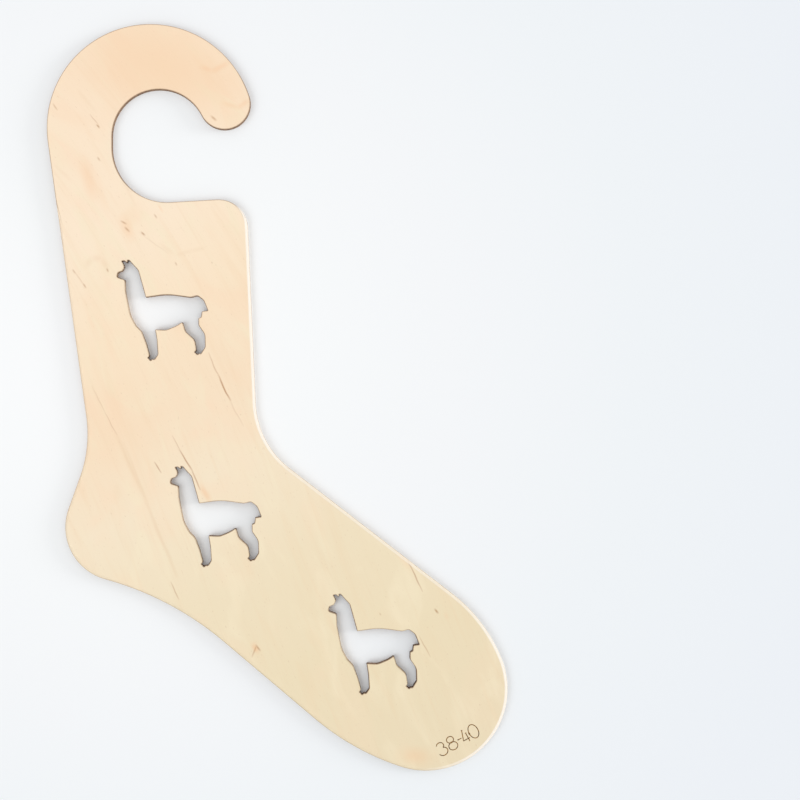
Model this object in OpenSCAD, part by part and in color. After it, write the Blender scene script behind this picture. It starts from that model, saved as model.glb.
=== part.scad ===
// Sock blocker: a leg and foot with a hook to hang it by, laser cut from three-ply board.
// Three animal figures are cut through it, and the edge of the leg and foot is eased by sanding.
// It lies on its back face, in millimetres: X across the leg, Y up the leg, Z through the board.
// The origin is on the back face, below the middle of the outline's box.

/* [Foot] */
// Length of the foot, from the back of the heel to the tip of the toe
foot_length = 251.5; // [230:0.5:275]
// Width of the foot, from the sole to the top
foot_width = 96.5; // [86:0.5:108]
// Slope of the foot below level, in degrees
foot_slope = 37.6; // [32:0.1:43]
// Radius of the heel
heel_radius = 28.5; // [24:0.5:33]
// How far the heel reaches below the line of the sole
heel_drop = 11.2; // [8:0.1:14]
// Radius of the hollow under the arch
arch_radius = 163; // [135:1:195]
// Height of the arch above the line of the sole
arch_rise = 3.2; // [2:0.1:4.5]
// Radius of the sole under the ball of the foot
sole_radius = 136; // [115:1:160]
// Radius of the tip of the toe
toe_radius = 43; // [36:0.5:48]
// Radius of the curve over the toes
toe_top_radius = 81; // [65:1:100]
// Radius of the hollow where the leg meets the top of the foot
instep_radius = 46; // [36:0.5:56]

/* [Leg] */
// Width of the ankle
ankle_width = 88.5; // [78:0.5:100]
// Height of the hollow behind the ankle above the heel's centre
ankle_height = 49; // [42:0.5:58]
// Radius of the hollow behind the ankle
ankle_radius = 66; // [54:1:80]
// How far the heel stands out behind the ankle
heel_depth = 11.7; // [8:0.1:15]
// Height of the end of the leg above the heel's centre
leg_height = 172.5; // [150:0.5:200]
// Radius of the corner at the front of the leg's end
cuff_radius = 15.5; // [10:0.5:19]
// How far that corner stands behind the front of the ankle
cuff_set_back = 4; // [0:0.5:8]

/* [Hook] */
// Width of the hook's band at its top and back
hook_width = 34.2; // [29:0.1:40]
// How far the hook stands out behind the heel
hook_overhang = 9.6; // [5:0.1:14]
// How far the band's outer curve is off the centre of its inner one, which narrows it to the tip
hook_taper = 4.7; // [2:0.1:6]
// Angle of the hook's tip above level, in degrees
tip_angle = 18; // [5:1:30]
// Radius of the eye under the hook
eye_radius = 25; // [21:0.5:29]
// Radius of the eye's lower end
eye_low_radius = 29; // [25:0.5:33]
// Straight height at the back of the eye
eye_straight = 5.6; // [2:0.1:10]
// How far the eye dips below the corner of the leg's end
eye_dip = 1.5; // [0.5:0.1:3]

/* [Figures] */
// Height of each figure
figure_height = 53; // [42:0.5:60]
// Distance of the leg's figure below the end of the leg
leg_figure_drop = 59; // [50:0.5:75]
// Distance of the heel's figure from the back of the heel, along the foot
heel_figure_place = 64.5; // [58:0.5:72]
// Height of the heel's figure above the middle of the foot's width
heel_figure_lift = 3; // [-3:0.5:6]
// Distance of the toe's figure from the tip of the toe, along the foot
toe_figure_place = 80; // [70:0.5:92]
// Height of the toe's figure above the middle of the foot's width
toe_figure_lift = 0.5; // [-3:0.5:6]

/* [Board] */
// Thickness of each face veneer
face_thickness = 1.3; // [0.8:0.1:2]
// Thickness of the core veneer
core_thickness = 1.2; // [0.8:0.1:3]
// Thickness of each glue line
glue_thickness = 0.1; // [0.08:0.01:0.2]
// Width of the eased edge on the faces
ease_width = 1.3; // [0.5:0.1:2]
// Depth of the eased edge on the sides
ease_depth = 1; // [0.3:0.1:1.8]

/* [Hidden] */

// Colours of the veneers and the glue
veneer_colour = [0.97, 0.89, 0.78];
core_colour = [0.84, 0.70, 0.53];
glue_colour = [0.45, 0.27, 0.16];

// The most that a chord may cut off its arc
smoothness = 0.02;
// Points nearer than this are one point
merge_distance = 0.005;
// An arc that would turn further than this has only overshot its end
longest_turn = 330;
// Share of an edge that the rounding of one corner may use
corner_share = 0.49;
// Square edge that always remains on an eased veneer
square_edge = 0.2;
// Length over which the easing runs out behind the leg
ease_run_out = 12;
// Shares of the full easing at the cutter's ends, where it is clear of the board, and along it
ease_none = -0.3;
ease_full = 1;
// How far the easing cutter stands out past the edges of its cut, as a share of them
cutter_margin = 0.5;

// Heights of the layers
board_thickness = 2 * (face_thickness + glue_thickness) + core_thickness;
back_glue_z = face_thickness;
core_z = back_glue_z + glue_thickness;
front_glue_z = core_z + core_thickness;
front_z = front_glue_z + glue_thickness;
ease_down = min(ease_depth, face_thickness - square_edge);

function direction(angle) = [cos(angle), sin(angle)];
function unit(v) = v / norm(v);
function wrap(angle) = angle - 360 * floor(angle / 360);
function leg_of(long_side, other) = sqrt(max(0, pow(long_side, 2) - pow(other, 2)));
function flat(lists) = [for (list = lists) each list];
function spaced(points) =
    let (n = len(points))
    [for (i = [0 : n - 1]) if (norm(points[i] - points[(i + n - 1) % n]) > merge_distance) points[i]];

// Number of chords for an arc
function chords(radius, turn) =
    max(1, ceil(abs(turn) / (2 * acos(1 - min(0.5, smoothness / abs(radius))))));

// A place on the foot, along it from the heel's centre and up from the line of the sole
heel_up = heel_radius - heel_drop;
function on_foot(along, up) =
    along * direction(-foot_slope) + (up - heel_up) * direction(90 - foot_slope);

// The outline runs round discs like a belt, counterclockwise: [centre, radius].
// It passes a disc on its right, or on its left where the radius is negative and the edge is hollow.
toe_round = min(toe_radius, foot_width / 2);
toe_along = foot_length - heel_radius - toe_round;
toe = [on_foot(toe_along, foot_width / 2), toe_round];
toe_top_up = foot_width - toe_top_radius;
toe_top_back = leg_of(toe_top_radius - toe_round, foot_width / 2 - toe_top_up);
toe_top = [on_foot(toe_along - toe_top_back, toe_top_up), toe_top_radius];
sole_back = leg_of(sole_radius - toe_round, sole_radius - foot_width / 2);
sole = [on_foot(toe_along - sole_back, sole_radius), sole_radius];
heel = [[0, 0], heel_radius];
arch_up = arch_rise - arch_radius;
arch = [on_foot(leg_of(heel_radius + arch_radius, heel_up - arch_up), arch_up), -arch_radius];

ankle_back = heel_depth - heel_radius;
ankle_front = ankle_back + ankle_width;
ankle_bulge = heel_radius + ankle_radius;
ankle_up = max(ankle_height, leg_of(ankle_bulge, ankle_bulge - heel_depth));
ankle = [[ankle_back - ankle_radius, ankle_up], -ankle_radius];
instep_x = ankle_front + instep_radius;
instep_up = foot_width + instep_radius - heel_up;
instep_y = (instep_up - instep_x * sin(foot_slope)) / cos(foot_slope);
instep = [[instep_x, instep_y], -instep_radius];
cuff_front = ankle_front - cuff_set_back;
cuff = [[cuff_front - cuff_radius, leg_height - cuff_radius], cuff_radius];

hook_back = -heel_radius - hook_overhang;
eye_back = hook_back + hook_width;
eye_low = [[eye_back + eye_low_radius, leg_height - eye_dip + eye_low_radius], -eye_low_radius];
eye = [[eye_back + eye_radius, eye_low[0][1] + eye_straight], -eye_radius];
crown_radius = hook_width + eye_radius - hook_taper;
crown = [eye[0] + hook_taper * [-1, 1], crown_radius];
// The tip's disc touches the crown from inside and the eye from outside
eye_offset = eye[0] - crown[0];
eye_along_tip = eye_offset * direction(tip_angle);
tip_radius = (pow(crown_radius, 2) - 2 * crown_radius * eye_along_tip + eye_offset * eye_offset
    - pow(eye_radius, 2)) / (2 * (crown_radius + eye_radius - eye_along_tip));
tip = [crown[0] + (crown_radius - tip_radius) * direction(tip_angle), tip_radius];

discs = [crown, ankle, heel, arch, sole, toe, toe_top, instep, cuff, eye_low, eye, tip];
// The discs whose edge is eased, from the back of the ankle round the foot to the leg's corner
first_eased = 1;
last_eased = 8;

// Heading of the straight stretch from one disc to the next
function heading(a, b) =
    let (across = b[0] - a[0])
    atan2(across[1], across[0]) + asin(max(-1, min(1, (a[1] - b[1]) / norm(across))));
function arrival(i) = heading(discs[(i + len(discs) - 1) % len(discs)], discs[i]);
function departure(i) = heading(discs[i], discs[(i + 1) % len(discs)]);
function turn_at(i) =
    let (turn = discs[i][1] > 0 ? wrap(departure(i) - arrival(i)) : -wrap(arrival(i) - departure(i)))
    abs(turn) > longest_turn ? 0 : turn;
function touch(disc, angle) = disc[0] + disc[1] * direction(angle - 90);
// Points along disc i's arc: its corners with lag 0, or the middles between them with lag 0.5
function arc_on(i, lag) =
    let (turn = turn_at(i), n = chords(discs[i][1], turn))
    [for (k = [0 : n - 2 * lag]) touch(discs[i], arrival(i) + turn * (k + lag) / n)];

outline = spaced(flat([for (i = [0 : len(discs) - 1]) arc_on(i, 0)]));
outline_x = [for (p = outline) p[0]];
outline_y = [for (p = outline) p[1]];
middle = [min(outline_x) + max(outline_x), min(outline_y) + max(outline_y)] / 2;

// The figure's corners, [x, y, rounding], counterclockwise from the left ear, in millimetres
figure_head = [[-19.8, 26.6, 0.3], [-18.5, 23.6, 1], [-19.4, 21.5, 1], [-22, 20.6, 1.5], [-22.5, 18, 1.2],
    [-18.2, 16.6, 1]];
figure_chest = [[-18, 10.5, 12], [-15.5, -2, 12], [-12.5, -7.5, 4], [-9.5, -10.5, 5]];
figure_front_leg = [[-7, -17, 8], [-5.3, -23.2, 0.5], [-6.1, -24.4, 0.4], [-4.6, -26, 0.5],
    [-3.8, -25.1, 0.4], [-2.6, -25.3, 1], [-0.8, -22.6, 2], [-1.3, -15, 8], [-2.2, -9.5, 0.3]];
figure_belly = [[3.5, -9.8, 6], [9, -7.5, 12], [12, -5.5, 0.4], [13.5, -10.5, 4]];
figure_hind_leg = [[18.5, -15, 4], [19.3, -20.3, 0.5], [18.5, -21.4, 0.4], [20, -22.8, 0.5],
    [20.9, -22.1, 0.4], [21.8, -22.3, 1], [24.1, -18.6, 2], [23.9, -12, 5], [20.6, -7.2, 2],
    [20.6, -3.6, 0.3]];
figure_tail = [[22, -2.8, 0.3], [22.4, 0, 0.3], [25.5, 0.5, 0.3], [23.3, 6, 4], [20, 8.5, 2]];
figure_back = [[16.5, 7.5, 3], [4, 9.2, 30], [-7.2, 7.6, 0.3]];
figure_neck = [[-11.2, 21.9, 4], [-13.3, 24, 2], [-15.9, 27, 0.4], [-16.9, 27, 0.3], [-16.7, 25.5, 0.3],
    [-18.5, 26.8, 0.4]];
figure_corners = flat([figure_head, figure_chest, figure_front_leg, figure_belly, figure_hind_leg,
    figure_tail, figure_back, figure_neck]);
figure_rows = [for (c = figure_corners) c[1]];
figure_scale = figure_height / (max(figure_rows) - min(figure_rows));

// A corner at b, rounded between its neighbours a and c as far as its edges allow
function rounded(a, b, c, radius) =
    let (
        in = unit(a - b),
        out = unit(c - b),
        half = acos(in * out) / 2,
        reach = min(radius / tan(half), corner_share * min(norm(a - b), norm(c - b))),
        bend = reach * tan(half),
        centre = b + unit(in + out) * bend / sin(half),
        first = b + in * reach - centre,
        turn = sign(cross(b - a, c - b)) * (180 - 2 * half),
        n = chords(bend, turn)
    )
    [for (k = [0 : n]) centre + bend * direction(atan2(first[1], first[0]) + turn * k / n)];
function place_of(corner) = [corner[0], corner[1]];
function figure_corner(i) =
    let (n = len(figure_corners), corner = figure_corners[i])
    rounded(place_of(figure_corners[(i + n - 1) % n]), place_of(corner),
        place_of(figure_corners[(i + 1) % n]), corner[2]);
figure_outline = spaced(flat([for (i = [0 : len(figure_corners) - 1]) figure_corner(i)]));

leg_figure_x = (ankle_back + ankle_front + hook_back + cuff_front) / 4;
figure_places = [
    [leg_figure_x, leg_height - leg_figure_drop],
    on_foot(heel_figure_place - heel_radius, foot_width / 2 + heel_figure_lift),
    on_foot(foot_length - heel_radius - toe_figure_place, foot_width / 2 + toe_figure_lift)
];

// Stations of the easing cutter along the edge: [place, share of the full easing]
back_line = [touch(discs[0], departure(0)), touch(discs[1], arrival(1))];
back_start = back_line[0] + (back_line[1] - back_line[0])
    * (back_line[0][1] - leg_height) / (back_line[0][1] - back_line[1][1]);
back_full = back_start + ease_run_out * unit(back_line[1] - back_line[0]);
cuff_arc = arc_on(last_eased, 0.5);
stations = concat(
    [[back_start, ease_none], [back_full, ease_full]],
    [for (i = [first_eased : last_eased - 1]) for (p = arc_on(i, 0.5)) [p, ease_full]],
    [for (k = [0 : len(cuff_arc) - 1])
        [cuff_arc[k], ease_full + (ease_none - ease_full) * k / (len(cuff_arc) - 1)]]
);
// Outward direction at a station, lengthened so that both of its edges move out evenly
function outward(i) =
    let (
        here = stations[i][0],
        before = i > 0 ? unit(here - stations[i - 1][0]) : unit(stations[i + 1][0] - here),
        after = i < len(stations) - 1 ? unit(stations[i + 1][0] - here) : before,
        along = unit(before + after)
    )
    [along[1], -along[0]] / (along * before);
// The cutter's triangle at a station: below and outside, above and outside, above and inside
function cutter_corners(i) =
    let (here = stations[i][0] - middle, out = outward(i), inside = -stations[i][1] - cutter_margin)
    [for (corner = [[cutter_margin, inside], [cutter_margin, cutter_margin], [inside, cutter_margin]])
        [each here + corner[0] * ease_width * out, board_thickness + corner[1] * ease_down]];

module figure() {
    scale(figure_scale) polygon(figure_outline);
}

module layer(z, thickness) {
    translate([0, 0, z]) linear_extrude(thickness) translate(-middle) difference() {
        polygon(outline);
        for (place = figure_places) translate(place) figure();
    }
}

module easing_cutter() {
    last = len(stations) - 1;
    polyhedron(
        [for (i = [0 : last]) each cutter_corners(i)],
        concat(
            [[0, 2, 1], [3 * last, 3 * last + 1, 3 * last + 2]],
            [for (i = [0 : last - 1]) for (k = [0 : 2]) each
                let (a = 3 * i + k, b = 3 * i + (k + 1) % 3)
                [[a, b, b + 3], [a, b + 3, a + 3]]]
        )
    );
}

module front_veneer() {
    color(veneer_colour) difference() {
        layer(front_z, face_thickness);
        easing_cutter();
    }
}

module front_glue_line() {
    color(glue_colour) layer(front_glue_z, glue_thickness);
}

module core_veneer() {
    color(core_colour) layer(core_z, core_thickness);
}

module back_glue_line() {
    color(glue_colour) layer(back_glue_z, glue_thickness);
}

module back_veneer() {
    color(veneer_colour) translate([0, 0, board_thickness]) mirror([0, 0, 1]) front_veneer();
}

back_veneer();
back_glue_line();
core_veneer();
front_glue_line();
front_veneer();
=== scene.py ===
import math
from collections import namedtuple

import bmesh
import bpy
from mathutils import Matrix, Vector


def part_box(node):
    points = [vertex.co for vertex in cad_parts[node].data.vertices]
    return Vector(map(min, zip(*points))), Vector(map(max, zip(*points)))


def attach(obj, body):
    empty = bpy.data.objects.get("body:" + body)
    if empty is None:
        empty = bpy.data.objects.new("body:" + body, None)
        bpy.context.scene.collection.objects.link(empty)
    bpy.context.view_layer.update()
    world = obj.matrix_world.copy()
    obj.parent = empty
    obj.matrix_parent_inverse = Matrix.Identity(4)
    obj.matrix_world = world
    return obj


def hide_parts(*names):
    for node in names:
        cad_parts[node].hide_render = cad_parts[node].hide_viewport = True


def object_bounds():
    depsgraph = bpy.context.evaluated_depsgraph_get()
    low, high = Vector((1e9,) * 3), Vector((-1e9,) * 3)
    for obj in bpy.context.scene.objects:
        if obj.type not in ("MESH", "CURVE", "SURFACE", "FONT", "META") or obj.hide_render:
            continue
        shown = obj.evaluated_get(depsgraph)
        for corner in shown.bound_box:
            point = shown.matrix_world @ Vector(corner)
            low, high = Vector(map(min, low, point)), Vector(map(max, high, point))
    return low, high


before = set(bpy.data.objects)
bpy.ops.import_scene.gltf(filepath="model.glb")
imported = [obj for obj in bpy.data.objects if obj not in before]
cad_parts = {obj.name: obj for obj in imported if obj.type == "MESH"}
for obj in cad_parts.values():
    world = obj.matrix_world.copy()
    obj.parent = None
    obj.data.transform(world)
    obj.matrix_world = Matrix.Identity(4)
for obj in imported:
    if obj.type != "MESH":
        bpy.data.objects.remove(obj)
cad_low, cad_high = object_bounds()

# The looks of a flat plywood sock blocker: five pressed layers with a sanded edge on the leg and foot,
# laser-scorched cuts on the hook and the figures, plain engraved size numbers and a birch face.
# Lengths are in metres, the small ones written with MM, and without it in millimetres in the materials.
# Shares go from 0 to 1.
MM = 0.001


def srgb(red, green, blue):
    """A colour as a screen shows it, each part from 0 to 255, as linear RGBA."""
    return tuple(((part / 255 + 0.055) / 1.055) ** 2.4 for part in (red, green, blue)) + (1.0,)


# Edges of the board
EASE_WIDTH = 1.3 * MM           # how far the sanded rounding reaches in over a face
EASE_DEPTH = 1.0 * MM           # how far it reaches down the edge
EASE_NONE = 103.0 * MM          # height up the leg above which the edge is left as the laser cut it
EASE_FULL = 91.0 * MM           # height below which the rounding is full
RIM_STEPS = 6                   # steps of a rounded corner
CUT_CORNER = 0.05 * MM          # corner that the laser leaves
CUT_TAPER = 0.2 * MM            # how much further the wood reaches into a cut at the back than at the front
HALO_WIDTH = 0.45 * MM          # rim beside the edge over which its scorch or sanding fades out on the face
HALO_MIDDLE = 0.45              # share of that width at which the next two values hold
HALO_SCORCH = 0.45              # scorch beside a laser cut
HALO_SANDING_AND_HIGHLIGHT = 0.5              # sanding, with its painted highlight, beside the full rounding

# Outlines and meshes
UPWARD = 0.5                    # least rise of the normal of a face that belongs to the upper side
LONGEST_EDGE = 3 * MM           # longest stretch between two points of the board's outline
LONGEST_FIGURE_EDGE = 0.8 * MM  # and of a figure's
LEAST_MITRE = 0.4               # keeps the point of a sharp corner from going too far in
ROOM_SHARE = 0.85               # share of the way to where it would meet its neighbour that a point may go
SMOOTH_ANGLE = math.radians(35)  # corners that turn more than this stay sharp
SAME_POINT = 0.001 * MM         # points of the engraving that are closer than this are one

# Scorch of the edges, where 1 is the plain brown of the laser's cut, and their sanding; by the way an edge
# faces, the scorch also paints shade and light, and the sanding a highlight
RIM_SCORCH = 0.75               # scorch where the corner of a laser cut meets the face
WORN_SCORCH = 0.4               # scorch that sanding leaves on the middle of the edge
WORN_FALL = 3                   # power by which it falls to nothing over the rounding
WORN_AT = 1 / 3                 # share of the full rounding at which all other scorch is gone
PALE_BAND_FULL_AT = 1 / 4               # share of it at which the sanding and its painted highlight are full
MOST_SCORCH_AND_SHADE_LEFT = 3.2          # how many times as much scorch is left where the edge faces away from +X: real scorch with painted shade
SHADE_FULL_X = -0.25            # x of the way that the edge faces, below which that painted shade is full
SHADE_NONE_X = 0.35              # and above which there is none, towards the toe
HIGHLIGHT_WAY = Vector((0.985, -0.17))     # way that the edge faces where it is palest: paler sanded wood with a painted highlight of light from +X
PALE_NONE = 0.05                # cosine of the angle off that way at which the edge starts to be paler
PALE_FULL = 0.8                 # and at which it is palest
FIGURE_SCORCH_LIT = 0.5       # scorch of a figure's wall that faces the toe, kept low as painted light on walls facing +X
FIGURE_SCORCH_MOST = 1.6        # and of a corner or a wall that faces away from the toe, which are charred
TURN_REACH = 0.9 * MM           # stretch on either side of a point over which the laser's turn is taken
TURN_CHARS = 0.65               # turn, where 1 is right back, at which a corner is charred most

# Engraved size numbers near the toe
NUMBER_HEIGHT = 7.0 * MM
NUMBER_LINE = 0.48 * MM         # width of the engraved line
NUMBER_ROUNDNESS = 2            # how finely the groove is rounded
NUMBER_DWELL = 1.9              # how many times wider the line is where the laser starts a stroke
NUMBER_SLOPE = math.radians(29)
NUMBER_START = Vector((86.7, -189.0)) * MM      # left end of the line that the numbers stand on
RING_GAP = 1e-6                 # a stroke whose ends are closer than this, for numbers 1 high, is a ring

# Ways on the board
UP_LEG = (0.0, 1.0, 0.0)
THROUGH_BOARD = (0.0, 0.0, 1.0)
IN_FACE = (1.0, 1.0, 0.0)       # what remains of a place that is pressed flat
GRAIN_ALONG = Vector((0.375, -0.927, 0.0))
GRAIN_ACROSS = Vector((0.927, 0.375, 0.0))
GRAIN_BEND = 0.00116            # shift across the grain towards the hook, per square of the height

# Patterns of the birch: how many times longer than wide, how fast they change through the wood, their size,
# the detail and warp of their noise, the noise at which they start and are full, and how much they then
# cover with their colour
Pattern = namedtuple("Pattern", "run through size detail warp starts full most colour")
CLOUDS = Pattern(run=1.7, through=0.2, size=34.0, detail=2.0, warp=1.2,
                 starts=0.45, full=0.7, most=0.4, colour=srgb(252, 221, 190))
HAZES = Pattern(run=2.6, through=0.3, size=15.0, detail=3.0, warp=1.0,
                starts=0.48, full=0.75, most=0.5, colour=srgb(248, 234, 203))
STREAKS = Pattern(run=9.0, through=1.0, size=7.0, detail=4.0, warp=1.0,
                  starts=0.5, full=0.78, most=0.14, colour=srgb(238, 202, 160))
FINE_LINES = Pattern(run=30.0, through=3.0, size=0.9, detail=3.0, warp=0.0,
                     starts=0.52, full=0.8, most=0.09, colour=srgb(226, 194, 156))
PORES = Pattern(run=3.0, through=3.0, size=0.7, detail=1.0, warp=0.0,
                starts=0.68, full=0.8, most=0.2, colour=srgb(190, 150, 112))
CLOUDS_FADE = (0.4, 0.8)        # stretch of the way to the toe over which the clouds thin out
CLOUDS_LEAST = 0.12             # how much they cover beyond it

# Tones of the veneers, each with its place on the way from the hook to the toe; the face's tones darken
# towards the toe, partly the wood's own tone and partly painted shade where the light falls off
TONE_WAY = Vector((0.45, -0.89, 0.0))
TONE_START = -200.0             # where that way starts, measured along it from the board's middle
TONE_RUN = 420.0                # how long it is
FACE_TONES_AND_SHADE = [
    (0.0, srgb(252, 229, 201)),
    (0.2, srgb(253, 233, 207)),
    (0.32, srgb(251, 229, 199)),
    (0.43, srgb(249, 226, 196)),
    (0.53, srgb(247, 230, 202)),
    (0.66, srgb(241, 225, 193)),
    (0.8, srgb(238, 222, 188)),
    (1.0, srgb(235, 219, 186)),
]
CORE_TONES = [(0.0, srgb(214, 178, 138)), (1.0, srgb(206, 170, 130))]

# Finish of the wood
# Near white of the pale edge band: paler sanded wood with a painted highlight
SANDED_WOOD_AND_HIGHLIGHT = srgb(255, 247, 236)
SANDING_AND_HIGHLIGHT_COVERS = 0.85           # how much of that colour the full pale band gives
FACE_SOOT = srgb(130, 100, 76)
CORE_SOOT = srgb(104, 76, 56)
PALE_SOOT = srgb(168, 134, 104)
CHARRED_WOOD = srgb(74, 54, 40)
CUT_LINE_WIDTH = 0.35           # of the fine upright lines that the laser leaves on a cut
CUT_LINE_SCALE = (1.0, 1.0, 0.08)       # draws them out through the board
CUT_LINE_RANGE = (0.35, 0.7)    # noise over which soot goes from dark to pale
STREAK_RANGE = (0.2, 0.8)       # noise of the streaks over which the roughness changes
WOOD_ROUGHNESS = (0.72, 0.84)
WOOD_RELIEF = 0.02 * MM
FINE_RELIEF = 0.5               # height of the fine lines, where the laser's lines have 1

# Finish of the glue and of the engraved line
GLUE_TONES = (srgb(84, 54, 34), srgb(122, 84, 54))
GLUE_SOOT = srgb(52, 36, 28)
GLUE_SOOT_COVERS = 0.8          # how much of the soot plain scorch gives
GLUE_PATCH = 1.5                # size of its uneven patches
GLUE_RANGE = (0.3, 0.7)         # noise over which its tone changes
GLUE_ROUGHNESS = 0.5
GLUE_RELIEF = 0.01 * MM
BURNT_TONES = (srgb(84, 50, 9), srgb(168, 119, 44))
BURNT_PATCH = 1.2
BURNT_RANGE = (0.35, 0.65)
BURNT_ROUGHNESS = 0.7
BURNT_RELIEF = 0.02 * MM

# Natural marks of the front veneer: start, end, half width and strength of each
LINE_MARKS = [
    ((-36.2, 23.4), (-29.9, 9.4), 0.6, 0.36),
    ((-31.2, 12.0), (-24.6, -1.8), 0.7, 0.74),
    ((-25.4, -0.4), (-17.9, -15.4), 0.55, 0.17),
    ((-55.3, -20.3), (-50.6, -29.0), 0.5, 0.3),
    ((-51.8, -27.2), (-44.9, -38.6), 0.65, 0.64),
    ((-45.6, -37.4), (-40.4, -48.2), 0.6, 0.54),
    ((-64.6, -34.1), (-61.1, -39.7), 0.6, 0.54),
    ((-97.4, 5.8), (-90.4, -8.8), 0.5, 0.18),
    ((-91.0, -7.6), (-84.4, -19.4), 0.5, 0.26),
    ((-56.0, -97.4), (-51.6, -106.4), 0.5, 0.4),
    ((68.6, -85.8), (76.4, -102.2), 0.55, 0.5),
    ((74.6, -125.5), (80.8, -136.2), 0.5, 0.32),
    ((-107.6, 67.2), (-100.5, 58.0), 0.6, 0.2),
    ((-98.4, 149.4), (-94.0, 143.6), 0.5, 0.3),
    ((-72.4, 86.8), (-57.0, 75.4), 0.6, 0.1),
    ((-11.2, -130.4), (-13.4, -136.4), 0.7, 0.4),
    ((-11.4, -130.2), (-9.2, -133.4), 0.8, 0.5),
]
FLECK_MARKS = [
    ((-95.0, 143.6), (-93.8, 142.0), 0.8, 0.58),
    ((-94.6, 126.2), (-93.2, 124.6), 0.8, 0.4),
    ((-118.0, 154.6), (-115.6, 151.2), 0.7, 0.35),
    ((-34.6, 148.2), (-32.0, 146.0), 0.9, 0.45),
    ((-82.4, 92.8), (-79.8, 91.5), 0.8, 0.46),
    ((-80.3, 89.6), (-78.0, 87.4), 0.8, 0.46),
    ((-71.4, 87.0), (-69.6, 85.4), 0.8, 0.58),
    ((-64.8, 96.4), (-63.4, 94.4), 0.7, 0.38),
    ((-107.8, 67.4), (-106.6, 65.4), 0.7, 0.3),
    ((-101.8, 60.0), (-100.6, 58.0), 0.7, 0.38),
    ((-89.6, 68.0), (-88.8, 66.2), 0.7, 0.46),
    ((-53.6, 71.2), (-52.8, 69.6), 0.7, 0.36),
    ((-34.4, 71.4), (-34.0, 70.4), 0.6, 0.25),
    ((82.9, -111.4), (84.4, -113.6), 0.9, 0.62),
    ((53.8, -113.4), (54.4, -114.6), 0.7, 0.3),
]
SOFT_BANDS = [
    ((-85.0, -18.5), (-70.0, -52.8), 1.6, 0.17),
    ((-70.5, -51.5), (-53.0, -94.0), 1.6, 0.18),
    ((-81.0, -24.0), (-66.0, -62.0), 1.3, 0.15),
    ((-104.8, 161.9), (-95.4, 150.3), 1.6, 0.1),
    ((-117.0, 122.4), (-109.0, 114.5), 1.6, 0.1),
    ((-82.7, 117.2), (-74.8, 101.4), 1.6, 0.1),
    ((-100.4, 69.4), (-97.6, 73.0), 2.6, 0.13),
    ((-97.2, 73.2), (-92.4, 73.0), 2.6, 0.13),
    ((-92.0, 72.8), (-89.2, 67.6), 2.2, 0.14),
    ((-61.3, 80.5), (-54.4, 75.4), 1.8, 0.1),
    ((-52.6, 75.2), (-45.0, 77.6), 1.8, 0.1),
    ((-45.6, 77.4), (-38.6, 78.4), 1.8, 0.09),
]
WARM_PATCHES = [
    ((-100.0, 190.0), (-20.0, 158.0), 40.0, 0.64),
    ((-80.0, 100.0), (-73.0, 91.0), 12.0, 0.28),
    ((-94.0, 10.0), (-82.0, -40.0), 34.0, 0.18),
]
ORANGE_MARKS = [
    ((-40.0, 174.0), (-34.0, 172.0), 2.2, 0.24),
    ((-34.6, 171.8), (-26.0, 176.0), 2.4, 0.28),
    ((-29.0, 155.0), (-20.2, 152.4), 2.2, 0.22),
    ((-21.0, 152.2), (-14.6, 156.4), 2.2, 0.24),
    ((-40.2, -46.5), (-35.8, -54.0), 2.6, 0.35),
    ((-102.0, 126.0), (-97.4, 106.0), 5.0, 0.18),
    ((-81.0, 94.0), (-77.5, 84.0), 4.5, 0.28),
    ((-62.4, 101.4), (-60.2, 97.6), 1.2, 0.2),
    ((66.0, -188.5), (80.0, -189.5), 7.5, 0.27),
    ((88.0, -113.0), (89.5, -117.0), 2.0, 0.12),
    ((-12.6, -129.6), (-10.8, -134.0), 2.2, 0.5),
    ((62.0, -76.0), (70.0, -90.0), 4.0, 0.2),
]
# The marks in the order in which they are laid on, with their colours
MARKS = [
    (WARM_PATCHES, srgb(248, 212, 174)),
    (ORANGE_MARKS, srgb(244, 190, 140)),
    (SOFT_BANDS, srgb(214, 172, 124)),
    (LINE_MARKS, srgb(166, 102, 36)),
    (FLECK_MARKS, srgb(166, 108, 30)),
]
MARK_ENDS = 0.35                # strength of a mark at its ends, where its middle has 1
SWAY_SCALE = 0.09               # of the noise by which the marks sway, per millimetre
SWAY_DETAIL = 2.0
SWAY_MIDDLE = (0.5, 0.5, 0.5)   # noise at which they don't
SWAY_REACH = (1.8, 1.8, 0.0)    # sway over the whole range of the noise

# Floor, with its tones from its brightest place outwards: a painted pool of light that falls off away from
# the leg
FLOOR_SIZE = 12.0
FLOOR_DROP = 0.02 * MM          # keeps the floor from cutting the back face
FLOOR_BRIGHTEST = (-90.0, 25.0, 0.0)    # millimetres
FLOOR_FADE = 400.0              # millimetres from there to the last tone
FLOOR_TONES = [
    (0.0, srgb(253, 254, 255)),
    (0.25, srgb(249, 251, 252)),
    (0.45, srgb(246, 248, 250)),
    (0.7, srgb(241, 245, 248)),
    (1.0, srgb(238, 242, 247)),
]
FLOOR_GLOW = 0.32               # share of the floor's plain tone, without shade, in what is seen of it: a painted glow that lightens its shadows
FIGURE_REACH = 30.0             # millimetres from a figure's middle within which the floor has none of it, which paints the floor seen through a figure darker
GLOW_REACH = 36.0               # and beyond which it has all

# Light, where 1 is white
SKY_BRIGHTEST = 0.78
SKY_HORIZON = 0.49
SKY_MIDDLE = Vector((0.05, 0.1, 0.99))          # way to the brightest part of the sky
SKY_COLOUR = (1.0, 1.0, 1.0, 1.0)
BACKGROUND = 0.95               # what is seen behind the floor
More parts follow.
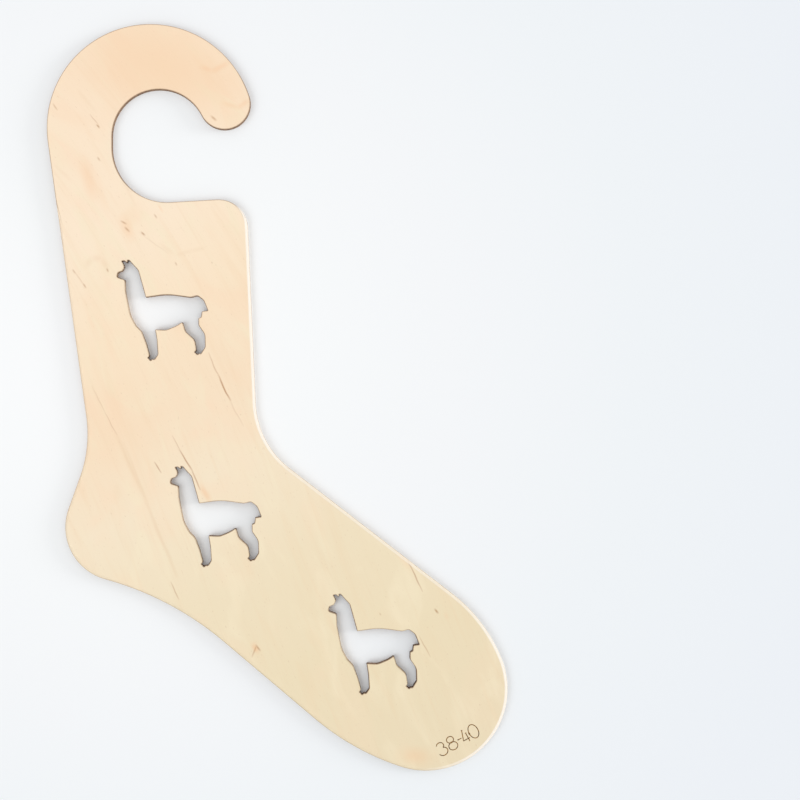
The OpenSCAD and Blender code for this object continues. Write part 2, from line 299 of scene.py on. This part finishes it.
# Softboxes: the way to each, from +X towards +Y and upwards, and how wide it looks, all in degrees, and
# how much light it gives a level surface
Softbox = namedtuple("Softbox", "name azimuth elevation width light")
SOFTBOXES = [
    Softbox("key_softbox", azimuth=205, elevation=52, width=40, light=0.21),
    Softbox("side_softbox", azimuth=8, elevation=14, width=20, light=0.096),
]

# View
CAMERA_RANGE = 1.0              # from the camera to the face
VIEW_WIDTH = 421.05 * MM        # width of face that the picture takes in
VIEW_CENTRE = Vector((64.6, -1.3)) * MM
LENS_SHIFT = 0.055              # how far the picture's middle is off the lens, in shares of its width
SENSOR_WIDTH = 36.0             # millimetres


def between(low, high, share):
    """The value a share of the way from low to high."""
    return low + (high - low) * share


def share_of_way(value, start, end):
    """How far the value has come on the way from start to end, from 0 to 1."""
    return max(0.0, min(1.0, (value - start) / (end - start)))


# Outlines, taken from the upper face of a layer
def face_outlines(node):
    """The closed outlines of a flat node's upper face, wood on their left, that of most points first."""
    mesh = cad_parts[node].data
    open_edges = {}
    for polygon in mesh.polygons:
        if polygon.normal.z < UPWARD:
            continue
        corners = [tuple(mesh.vertices[i].co.xy) for i in polygon.vertices]
        for here, there in zip(corners, corners[1:] + corners[:1]):
            if open_edges.pop((there, here), None) is None:
                open_edges[(here, there)] = True
    following = {here: there for here, there in open_edges}
    outlines = []
    while following:
        point = next(iter(following))
        outline = []
        while point in following:
            outline.append(Vector(point))
            point = following.pop(point)
        outlines.append(outline)
    return sorted(outlines, key=len, reverse=True)


def split_long(outline, longest):
    """The outline with its long straight stretches divided."""
    points = []
    for here, there in zip(outline, outline[1:] + outline[:1]):
        parts = max(1, math.ceil((there - here).length / longest))
        points += [here.lerp(there, k / parts) for k in range(parts)]
    return points


def inward_steps(outline):
    """For each point, the step that moves it by one into the wood, and its room inwards and outwards."""
    count = len(outline)
    ways = [(outline[(i + 1) % count] - outline[i]).normalized() for i in range(count)]
    lefts = [Vector((-way.y, way.x)) for way in ways]
    steps = []
    for i in range(count):
        both = lefts[i - 1] + lefts[i]
        steps.append(both / max(LEAST_MITRE, 1 + lefts[i - 1].dot(lefts[i])))
    room_in = [math.inf] * count
    room_out = [math.inf] * count
    for i in range(count):
        after = (i + 1) % count
        closing = (steps[i] - steps[after]).dot(ways[i])
        if closing:
            reach = ROOM_SHARE * (outline[after] - outline[i]).length / abs(closing)
            room = room_in if closing > 0 else room_out
            room[i] = min(room[i], reach)
            room[after] = min(room[after], reach)
    return list(zip(steps, room_in, room_out))


# Rounding, scorch and sanding along the outlines, with painted shade, painted light and a painted highlight
# by the way an edge faces
def ease_share(point):
    """How much of the full rounding the board's edge has at a point: none on the hook."""
    return share_of_way(point.y, EASE_NONE, EASE_FULL)


def highlight_share(step):
    """How pale the edge is where its step into the wood is this one: paler sanded wood with a painted
    highlight, most where it faces +X.
    """
    return share_of_way(-step.normalized().dot(HIGHLIGHT_WAY), PALE_NONE, PALE_FULL)


def board_scorch_and_shade(step, ease):
    """How many times its plain scorch the board's edge has: more where it is rounded and faces away from
    +X, real scorch with painted shade.
    """
    # The share below grows as the edge faces +X; where it is low, the extra scorch is painted shade
    sanded = share_of_way(-step.normalized().x, SHADE_FULL_X, SHADE_NONE_X)
    return between(1.0, MOST_SCORCH_AND_SHADE_LEFT, ease * (1 - sanded))


def turn_share(outline, index):
    """How sharply the outline turns at a point, where 1 is right back."""
    count = len(outline)
    here = outline[index]
    before, after = index - 1, index + 1
    while (outline[before % count] - here).length < TURN_REACH:
        before -= 1
    while (outline[after % count] - here).length < TURN_REACH:
        after += 1
    way_in = here - outline[before % count]
    way_out = outline[after % count] - here
    return way_in.angle(way_out) / math.pi


def figure_scorch_and_light(outline, index, step):
    """How many times its plain scorch a figure's wall has: more at corners and facing off the toe, less
    facing the toe, which is painted light.
    """
    facing_off = (1 + step.normalized().x) / 2
    charred = max(facing_off, turn_share(outline, index) / TURN_CHARS)
    return between(FIGURE_SCORCH_LIT, FIGURE_SCORCH_MOST, min(1.0, charred))


# A point of an outline: its place, its step into the wood and its room, its share of the full rounding,
# its scorch, with painted shade on the board's edge and painted light on a figure's wall by the way they
# face, the most scorch that it can have, and how pale sanding and a painted highlight make it
EdgePoint = namedtuple("EdgePoint", "place step room_in room_out ease burnt most_burnt pale")


def board_edge(outline):
    """The points of the board's outline, with what shapes and colours its edge there."""
    points = []
    for place, (step, room_in, room_out) in zip(outline, inward_steps(outline)):
        ease = ease_share(place)
        burnt = board_scorch_and_shade(step, ease)
        points.append(EdgePoint(place, step, room_in, room_out, ease, burnt, 1.0, highlight_share(step)))
    return points


def figure_edge(outline):
    """The points of a figure's outline, whose edge is neither rounded nor sanded."""
    points = []
    for index, (step, room_in, room_out) in enumerate(inward_steps(outline)):
        place = outline[index]
        burnt = figure_scorch_and_light(outline, index, step)
        points.append(EdgePoint(place, step, room_in, room_out, 0.0, burnt, FIGURE_SCORCH_MOST, 0.0))
    return points


# Layers of the board
def rim_rings(ease):
    """The rings of a face's corner from the edge inwards: inset, depth under the face, scorch, sanding and
    painted highlight.
    """
    width = between(CUT_CORNER, EASE_WIDTH, ease)
    depth = between(CUT_CORNER, EASE_DEPTH, ease)
    wear = min(1.0, ease / WORN_AT)
    sanding = min(1.0, ease / PALE_BAND_FULL_AT)
    rings = []
    for k in range(RIM_STEPS + 1):
        turn = math.pi / 2 * k / RIM_STEPS
        inset = width * (1 - math.cos(turn))
        under = depth * (1 - math.sin(turn))
        cut = between(1.0, RIM_SCORCH, k / RIM_STEPS)
        worn = WORN_SCORCH * (1 - k / RIM_STEPS) ** WORN_FALL
        rings.append((inset, under, between(cut, worn, wear), sanding))
    halo_scorch = between(HALO_SCORCH, 0.0, ease)
    rings.append((width + HALO_WIDTH * HALO_MIDDLE, 0.0, halo_scorch, HALO_SANDING_AND_HIGHLIGHT * ease))
    rings.append((width + HALO_WIDTH, 0.0, 0.0, 0.0))
    return rings


def edge_rings(ease, low, high, rim_below, rim_above):
    """The rings of a layer's edge from its lower to its upper face: inset, height, scorch, sanding and
    painted highlight.
    """
    wall = between(1.0, WORN_SCORCH, ease)
    rings = [(0.0, low, wall, 0.0), (0.0, high, wall, 0.0)]
    if rim_above:
        rings[1:] = [(inset, high - under, *finish) for inset, under, *finish in rim_rings(ease)]
    if rim_below:
        below = [(inset, low + under, *finish) for inset, under, *finish in rim_rings(ease)]
        rings[:1] = below[::-1]
    return rings


def edge_place(point, inset, height):
    """Where a ring of the edge lies: leaned by the taper, within the point's room and the CAD box."""
    lean = CUT_TAPER * (1 - point.ease) * (1 - height / cad_high.z)
    place = point.place + point.step * max(-point.room_out, min(inset - lean, point.room_in))
    x, y = (max(low, min(value, high)) for value, low, high in zip(place, cad_low.xy, cad_high.xy))
    return x, y, height


def build_layer(name, node, edges, rim_below=False, rim_above=False):
    """A new mesh for one layer of the board, with its true edges, in place of that layer's CAD node."""
    low, high = (corner.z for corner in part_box(node))
    shape = bmesh.new()
    # Per point: the scorch, which also paints shade and light by the way the edge faces, and the sanding
    # with its painted highlight
    scorch_of = shape.verts.layers.float.new("scorch")
    sanding_of = shape.verts.layers.float.new("sanding")
    rim_low, rim_high = [], []
    for edge in edges:
        columns = []
        for point in edge:
            column = []
            for inset, height, scorch, sanding in edge_rings(point.ease, low, high, rim_below, rim_above):
                vertex = shape.verts.new(edge_place(point, inset, height))
                vertex[scorch_of] = min(point.most_burnt, scorch * point.burnt)
                vertex[sanding_of] = sanding * point.pale
                column.append(vertex)
            columns.append(column)
        for here, there in zip(columns, columns[1:] + columns[:1]):
            for k in range(len(here) - 1):
                shape.faces.new((here[k], there[k], there[k + 1], here[k + 1]))
            rim_low.append(shape.edges.get((here[0], there[0])))
            rim_high.append(shape.edges.get((here[-1], there[-1])))
    bmesh.ops.triangle_fill(shape, use_beauty=True, edges=rim_low, normal=(0, 0, -1))
    bmesh.ops.triangle_fill(shape, use_beauty=True, edges=rim_high, normal=(0, 0, 1))
    bmesh.ops.recalc_face_normals(shape, faces=shape.faces)
    piece = add_piece(name, shape)
    smooth(piece.data)
    return piece


def add_piece(name, shape):
    """Turns a bmesh into an object of the scene."""
    mesh = bpy.data.meshes.new(name)
    shape.to_mesh(mesh)
    shape.free()
    piece = bpy.data.objects.new(name, mesh)
    bpy.context.scene.collection.objects.link(piece)
    return piece


def smooth(mesh):
    """Smooth shading, apart from the sharp corners."""
    mesh.shade_smooth()
    mesh.set_sharp_from_angle(angle=SMOOTH_ANGLE)


# Size numbers, each a set of strokes in a box one unit high
def arc(centre, radii, start, end, steps=28):
    """Points on an ellipse between two angles in degrees."""
    stroke = []
    for k in range(steps + 1):
        angle = math.radians(between(start, end, k / steps))
        x = centre[0] + radii[0] * math.cos(angle)
        y = centre[1] + radii[1] * math.sin(angle)
        stroke.append(Vector((x, y)))
    return stroke


def line(*points, steps=8):
    """A stroke of straight lines."""
    corners = [Vector(point) for point in points]
    stroke = corners[:1]
    for here, there in zip(corners, corners[1:]):
        stroke += [here.lerp(there, (k + 1) / steps) for k in range(steps)]
    return stroke


THREE = [arc((0.33, 0.77), (0.28, 0.25), 155, -60), arc((0.35, 0.30), (0.36, 0.30), 70, -168)]
EIGHT = [arc((0.33, 0.82), (0.27, 0.24), -90, 270), arc((0.33, 0.30), (0.345, 0.30), 90, 450)]
DASH = [line((0.0, 0.515), (0.32, 0.515))]
FOUR = [line((0.26, 1.03), (0.0, 0.24), (0.56, 0.24)), line((0.42, 0.72), (0.42, 0.0))]
ZERO = [arc((0.36, 0.52), (0.36, 0.54), 180, 540)]
# Each sign with its place along the line, in shares of the numbers' height
NUMBERS = [(THREE, -0.07), (EIGHT, 0.81), (DASH, 1.63), (FOUR, 1.99), (ZERO, 2.63)]


def engraving_cutter(height):
    """Round rods along the strokes of the size numbers, half sunk in the face."""
    across = Vector((math.cos(NUMBER_SLOPE), math.sin(NUMBER_SLOPE)))
    upward = Vector((-across.y, across.x))
    curve = bpy.data.curves.new("engraving_cutter", "CURVE")
    curve.dimensions = "3D"
    curve.bevel_depth = NUMBER_LINE / 2
    curve.bevel_resolution = NUMBER_ROUNDNESS
    curve.use_fill_caps = True
    for strokes, place in NUMBERS:
        for stroke in strokes:
            closed = (stroke[0] - stroke[-1]).length < RING_GAP
            points = stroke[:-1] if closed else stroke
            spline = curve.splines.new("POLY")
            spline.points.add(len(points) - 1)
            spline.use_cyclic_u = closed
            for target, point in zip(spline.points, points):
                at = NUMBER_START + NUMBER_HEIGHT * (across * (point.x + place) + upward * point.y)
                target.co = (at.x, at.y, height, 1.0)
            spline.points[0].radius = NUMBER_DWELL
    rods = bpy.data.objects.new("engraving_cutter", curve)
    bpy.context.scene.collection.objects.link(rods)
    return rods


def shown_mesh(piece):
    """A new mesh of an object as its settings and modifiers make it."""
    bpy.context.view_layer.update()
    return bpy.data.meshes.new_from_object(piece.evaluated_get(bpy.context.evaluated_depsgraph_get()))


def close_up(mesh):
    """Joins the points of a cut mesh that lie on one another, which leaves no face without area."""
    shape = bmesh.new()
    shape.from_mesh(mesh)
    bmesh.ops.remove_doubles(shape, verts=shape.verts, dist=SAME_POINT)
    bmesh.ops.dissolve_degenerate(shape, edges=shape.edges, dist=SAME_POINT)
    shape.to_mesh(mesh)
    shape.free()


def engrave(piece, material):
    """Cuts the size numbers into a piece as grooves and gives the grooves their own material."""
    rods = engraving_cutter(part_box("front_veneer")[1].z)
    solid = shown_mesh(rods)
    solid.materials.clear()
    solid.materials.append(material)
    cutter = bpy.data.objects.new("engraving_rods", solid)
    bpy.context.scene.collection.objects.link(cutter)
    cut = piece.modifiers.new("engraving", "BOOLEAN")
    cut.operation = "DIFFERENCE"
    cut.solver = "EXACT"
    cut.use_self = True
    cut.material_mode = "TRANSFER"
    cut.object = cutter
    carved = shown_mesh(piece)
    piece.modifiers.clear()
    piece.data = carved
    close_up(carved)
    smooth(carved)
    # The cut leaves chance values on its new points
    groove = carved.materials.find(material.name)
    for polygon in carved.polygons:
        if polygon.material_index == groove:
            for point in polygon.vertices:
                carved.attributes["scorch"].data[point].value = 0.0
                carved.attributes["sanding"].data[point].value = 0.0
    for helper in (rods, cutter):
        bpy.data.objects.remove(helper)


# Materials
class Shader:
    """The nodes of a new material or of a given tree. Calls take numbers, colours or sockets as inputs."""

    def __init__(self, name=None, tree=None):
        if tree is None:
            self.material = bpy.data.materials.new(name)
            self.material.use_nodes = True
            tree = self.material.node_tree
        self.tree = tree
        self.tree.nodes.clear()

    def add(self, kind, inputs, **settings):
        node = self.tree.nodes.new(kind)
        for key, value in settings.items():
            setattr(node, key, value)
        for key, value in inputs.items():
            if isinstance(value, bpy.types.NodeSocket):
                self.tree.links.new(value, node.inputs[key])
            else:
                node.inputs[key].default_value = value
        return node

    def math(self, operation, *values):
        return self.add("ShaderNodeMath", dict(enumerate(values)), operation=operation).outputs[0]

    def vector(self, operation, *values):
        node = self.add("ShaderNodeVectorMath", dict(enumerate(values)), operation=operation)
        return node.outputs["Value" if operation in ("DOT_PRODUCT", "DISTANCE") else "Vector"]

    def scale(self, vector, factor):
        inputs = {0: vector, "Scale": factor}
        return self.add("ShaderNodeVectorMath", inputs, operation="SCALE").outputs["Vector"]

    def combine(self, x, y, z):
        return self.add("ShaderNodeCombineXYZ", {0: x, 1: y, 2: z}).outputs[0]

    def noise(self, place, size, detail=3.0, warp=0.0):
        inputs = {"Vector": place, "Scale": 1 / size, "Detail": detail, "Distortion": warp}
        return self.add("ShaderNodeTexNoise", inputs).outputs[0]

    def spread(self, value, low, high, to_low=0.0, to_high=1.0):
        inputs = {0: value, 1: low, 2: high, 3: to_low, 4: to_high}
        return self.add("ShaderNodeMapRange", inputs, interpolation_type="SMOOTHSTEP").outputs[0]

    def mix(self, share, first, second):
        return self.add("ShaderNodeMix", {0: share, 6: first, 7: second}, data_type="RGBA").outputs[2]

    def ramp(self, value, stops):
        node = self.add("ShaderNodeValToRGB", {0: value})
        elements = node.color_ramp.elements
        while len(elements) < len(stops):
            elements.new(0.5)       # its place is set below
        for element, (position, colour) in zip(elements, stops):
            element.position = position
            element.color = colour
        return node.outputs[0]

    def attribute(self, name):
        return self.add("ShaderNodeAttribute", {}, attribute_name=name).outputs["Fac"]

    def place(self):
        """The place on the board in millimetres."""
        return self.scale(self.add("ShaderNodeTexCoord", {}).outputs["Object"], 1 / MM)

    def surface(self, colour, roughness, relief, relief_depth):
        """Ends the nodes in a dielectric surface with a little relief."""
        bump = self.add("ShaderNodeBump", {"Height": relief, "Distance": relief_depth, "Strength": 1.0})
        inputs = {"Base Color": colour, "Roughness": roughness, "Normal": bump.outputs[0]}
        shader = self.add("ShaderNodeBsdfPrincipled", inputs)
        self.add("ShaderNodeOutputMaterial", {"Surface": shader.outputs[0]})
        return self.material


def grain_place(shader, shift, crosswise):
    """Place in a veneer: across its grain, along it and through it."""
    place = shader.place()
    height = shader.math("MAXIMUM", shader.vector("DOT_PRODUCT", place, UP_LEG), 0.0)
    bend = shader.math("MULTIPLY", shader.math("MULTIPLY", height, height), GRAIN_BEND)
    across = shader.math("ADD", shader.vector("DOT_PRODUCT", place, GRAIN_ACROSS), bend)
    along = shader.vector("DOT_PRODUCT", place, GRAIN_ALONG)
    if crosswise:
        across, along = along, across
    depth = shader.math("ADD", shader.vector("DOT_PRODUCT", place, THROUGH_BOARD), shift)
    return across, along, depth


def grain_noise(shader, grain, pattern):
    """The noise of a pattern, drawn out along the grain."""
    across, along, depth = grain
    along = shader.math("DIVIDE", along, pattern.run)
    depth = shader.math("MULTIPLY", depth, pattern.through)
    return shader.noise(shader.combine(across, along, depth), pattern.size, pattern.detail, pattern.warp)


def covered(shader, colour, pattern, noise, most):
    """The colour, covered with a pattern's own where its noise is high, by the given share at most."""
    return shader.mix(shader.spread(noise, pattern.starts, pattern.full, 0.0, most), colour, pattern.colour)


def mark_mask(shader, place, start, end, width, strength):
    """A soft mark from start to end, full in its middle and thin at its ends."""
    way = Vector((end[0] - start[0], end[1] - start[1], 0.0))
    off = shader.vector("SUBTRACT", place, (start[0], start[1], 0.0))
    share = shader.math("DIVIDE", shader.vector("DOT_PRODUCT", off, way), way.length_squared)
    held = shader.math("MINIMUM", shader.math("MAXIMUM", share, 0.0), 1.0)
    distance = shader.vector("DISTANCE", off, shader.scale(way, held))
    # A curve that is 0 at both ends and 1/4 in the middle
    swell = shader.math("MULTIPLY", held, shader.math("SUBTRACT", 1.0, held))
    full = shader.math("MULTIPLY_ADD", swell, 4 * (1 - MARK_ENDS) * strength, MARK_ENDS * strength)
    return shader.math("MULTIPLY", shader.spread(distance, 0.0, width, 1.0, 0.0), full)


def marks_mask(shader, place, marks):
    """The strongest of several marks at each place."""
    mask = None
    for start, end, width, strength in marks:
        one = mark_mask(shader, place, start, end, width, strength)
        mask = one if mask is None else shader.math("MAXIMUM", mask, one)
    return mask


def marked(shader, colour):
    """The colour with the natural marks of the front veneer, which sway a little."""
    place = shader.place()
    inputs = {"Vector": place, "Scale": SWAY_SCALE, "Detail": SWAY_DETAIL}
    noise = shader.add("ShaderNodeTexNoise", inputs).outputs["Color"]
    sway = shader.vector("MULTIPLY", shader.vector("SUBTRACT", noise, SWAY_MIDDLE), SWAY_REACH)
    swayed = shader.vector("ADD", shader.vector("MULTIPLY", place, IN_FACE), sway)
    for marks, tone in MARKS:
        colour = shader.mix(marks_mask(shader, swayed, marks), colour, tone)
    return colour


def scorched(shader, colour, dark_soot, lines):
    """The colour browned by the laser along its lines where the scorch is, and charred where it is most;
    the scorch also holds painted shade on the board's edge facing away from +X and painted light on figure
    walls facing +X.
    """
    scorch = shader.attribute("scorch")
    soot = shader.mix(shader.spread(lines, *CUT_LINE_RANGE), dark_soot, PALE_SOOT)
    soot = shader.mix(shader.spread(scorch, 1.0, FIGURE_SCORCH_MOST), soot, CHARRED_WOOD)
    return shader.mix(scorch, colour, soot)


def birch(name, tones, shift, crosswise=False, has_marks=False, dark_soot=FACE_SOOT):
    """Sanded birch veneer: clouds, streaks, fine lines and pores along the grain, and scorched cuts."""
    shader = Shader(name)
    grain = grain_place(shader, shift, crosswise)
    place = shader.place()
    # The tones darken towards the toe: on the faces partly the wood's own tone, partly painted shade where
    # the light falls off
    down = shader.math("SUBTRACT", shader.vector("DOT_PRODUCT", place, TONE_WAY), TONE_START)
    down = shader.math("DIVIDE", down, TONE_RUN)
    colour = shader.ramp(down, tones)
    cloudy = shader.spread(down, *CLOUDS_FADE, CLOUDS.most, CLOUDS_LEAST)
    colour = covered(shader, colour, CLOUDS, grain_noise(shader, grain, CLOUDS), cloudy)
    noises = {}
    for pattern in (HAZES, STREAKS, FINE_LINES, PORES):
        noises[pattern] = grain_noise(shader, grain, pattern)
        colour = covered(shader, colour, pattern, noises[pattern], pattern.most)
    if has_marks:
        colour = marked(shader, colour)
    # Pale band of the edge: paler sanded wood with a painted highlight where the edge faces +X
    pale = shader.math("MULTIPLY", shader.attribute("sanding"), SANDING_AND_HIGHLIGHT_COVERS)
    colour = shader.mix(pale, colour, SANDED_WOOD_AND_HIGHLIGHT)
    cut_lines = shader.noise(shader.vector("MULTIPLY", place, CUT_LINE_SCALE), CUT_LINE_WIDTH)
    colour = scorched(shader, colour, dark_soot, cut_lines)
    roughness = shader.spread(noises[STREAKS], *STREAK_RANGE, *WOOD_ROUGHNESS)
    relief = shader.math("MULTIPLY", cut_lines, shader.attribute("scorch"))
    relief = shader.math("MULTIPLY_ADD", noises[FINE_LINES], FINE_RELIEF, relief)
    return shader.surface(colour, roughness, relief, WOOD_RELIEF)


def glue_line():
    """Cured resin glue, dark and slightly uneven."""
    shader = Shader("glue_line")
    uneven = shader.noise(shader.place(), GLUE_PATCH)
    colour = shader.mix(shader.spread(uneven, *GLUE_RANGE), *GLUE_TONES)
    sooty = shader.math("MULTIPLY", shader.attribute("scorch"), GLUE_SOOT_COVERS)
    colour = shader.mix(sooty, colour, GLUE_SOOT)
    return shader.surface(colour, GLUE_ROUGHNESS, uneven, GLUE_RELIEF)


def engraved_line():
    """The floor of the engraved line: wood burnt brown, uneven along the line."""
    shader = Shader("engraved_line")
    burn = shader.noise(shader.place(), BURNT_PATCH)
    colour = shader.mix(shader.spread(burn, *BURNT_RANGE), *BURNT_TONES)
    return shader.surface(colour, BURNT_ROUGHNESS, burn, BURNT_RELIEF)


def is_seen(shader):
    """1 for what the camera sees, also in gloss or through glass, and 0 for the light on other things."""
    path = shader.add("ShaderNodeLightPath", {}).outputs
    seen = shader.math("MAXIMUM", path["Is Camera Ray"], path["Is Glossy Ray"])
    return shader.math("MAXIMUM", seen, path["Is Transmission Ray"])


def floor_finish(figures):
    """A smooth pale surface with a painted pool of light, brightest beside the leg and a little greyer
    further off, and a painted glow away from the figures.
    """
    shader = Shader("pale_floor")
    place = shader.place()
    off = shader.vector("DISTANCE", place, FLOOR_BRIGHTEST)
    colour = shader.ramp(shader.math("DIVIDE", off, FLOOR_FADE), FLOOR_TONES)
    paper = shader.add("ShaderNodeBsdfDiffuse", {"Color": colour})
    glow = shader.add("ShaderNodeEmission", {"Color": colour, "Strength": 1.0})
    # The glow is left out near the figures, so the floor seen through them keeps its shade and is darker
    # than around the board: painted shade by place
    off_figure = GLOW_REACH
    for figure in figures:
        middle = (Vector(map(min, *figure)) + Vector(map(max, *figure))) / (2 * MM)
        off_figure = shader.math("MINIMUM", off_figure, shader.vector("DISTANCE", place, middle.to_3d()))
    most = shader.spread(off_figure, FIGURE_REACH, GLOW_REACH, 0.0, FLOOR_GLOW)
    share = shader.math("MULTIPLY", is_seen(shader), most)
    both = shader.add("ShaderNodeMixShader", {0: share, 1: paper.outputs[0], 2: glow.outputs[0]})
    shader.add("ShaderNodeOutputMaterial", {"Surface": both.outputs[0]})
    return shader.material


# Pieces
outer, *inner = face_outlines("core_veneer")
figures = [split_long(outline, LONGEST_FIGURE_EDGE) for outline in inner]
edges = [board_edge(split_long(outer, LONGEST_EDGE))] + [figure_edge(figure) for figure in figures]

# The shifts give each veneer its own grain
front_birch = birch("front_birch", FACE_TONES_AND_SHADE, shift=0.0, has_marks=True)
back_birch = birch("back_birch", FACE_TONES_AND_SHADE, shift=60.0)
core_birch = birch("core_birch", CORE_TONES, shift=120.0, crosswise=True, dark_soot=CORE_SOOT)
glue = glue_line()

LAYERS = [
    ("back_veneer_sheet", "back_veneer", back_birch, "face_veneer", {"rim_below": True}),
    ("back_glue_film", "back_glue_line", glue, "glue", {}),
    ("core_veneer_sheet", "core_veneer", core_birch, "core_veneer", {}),
    ("front_glue_film", "front_glue_line", glue, "glue", {}),
    ("front_veneer_sheet", "front_veneer", front_birch, "face_veneer", {"rim_above": True}),
]
for piece_name, node, material, slot, rims in LAYERS:
    layer = build_layer(piece_name, node, edges, **rims)
    layer.data.materials.append(material)
    if node == "front_veneer":
        engrave(layer, engraved_line())
    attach(layer, "root")
    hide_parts(node)


# Floor, light and camera
def add_floor(figures):
    """A large level floor just under the board."""
    shape = bmesh.new()
    bmesh.ops.create_grid(shape, x_segments=1, y_segments=1, size=FLOOR_SIZE / 2)
    floor = add_piece("floor", shape)
    floor.location.z = -FLOOR_DROP
    floor.data.materials.append(floor_finish(figures))


def add_sky():
    """White light, strongest overhead, and the even white that is seen behind the floor."""
    world = bpy.data.worlds.new("sky")
    bpy.context.scene.world = world
    world.use_nodes = True
    sky = Shader(tree=world.node_tree)
    way = sky.add("ShaderNodeTexCoord", {}).outputs["Generated"]
    rise = sky.math("MAXIMUM", sky.vector("DOT_PRODUCT", way, SKY_MIDDLE), 0.0)
    light = sky.math("MULTIPLY_ADD", rise, SKY_BRIGHTEST - SKY_HORIZON, SKY_HORIZON)
    strength = sky.add("ShaderNodeMix", {0: is_seen(sky), 2: light, 3: BACKGROUND}).outputs[0]
    glow = sky.add("ShaderNodeBackground", {"Color": SKY_COLOUR, "Strength": strength})
    sky.add("ShaderNodeOutputWorld", {"Surface": glow.outputs[0]})


def add_softbox(softbox):
    """A softbox so far away that its light is the same all over the board."""
    turn, rise = math.radians(softbox.azimuth), math.radians(softbox.elevation)
    way = Vector((math.cos(rise) * math.cos(turn), math.cos(rise) * math.sin(turn), math.sin(rise)))
    lamp = bpy.data.lights.new(softbox.name, "SUN")
    lamp.angle = math.radians(softbox.width)
    lamp.energy = softbox.light * math.pi / math.sin(rise)
    box = bpy.data.objects.new(softbox.name, lamp)
    box.rotation_euler = way.to_track_quat("Z", "Y").to_euler()
    bpy.context.scene.collection.objects.link(box)


def add_camera():
    """The camera straight above the board, +Y up in the picture, with a lens shifted towards its middle."""
    data = bpy.data.cameras.new("camera")
    data.sensor_width = SENSOR_WIDTH
    data.lens = SENSOR_WIDTH * CAMERA_RANGE / VIEW_WIDTH
    data.shift_x = LENS_SHIFT
    camera = bpy.data.objects.new("camera", data)
    camera.location = (VIEW_CENTRE.x - LENS_SHIFT * VIEW_WIDTH, VIEW_CENTRE.y, cad_high.z + CAMERA_RANGE)
    bpy.context.scene.collection.objects.link(camera)
    bpy.context.scene.camera = camera


add_floor(figures)
add_sky()
for softbox in SOFTBOXES:
    add_softbox(softbox)
add_camera()
bpy.context.scene.view_settings.view_transform = "Standard"
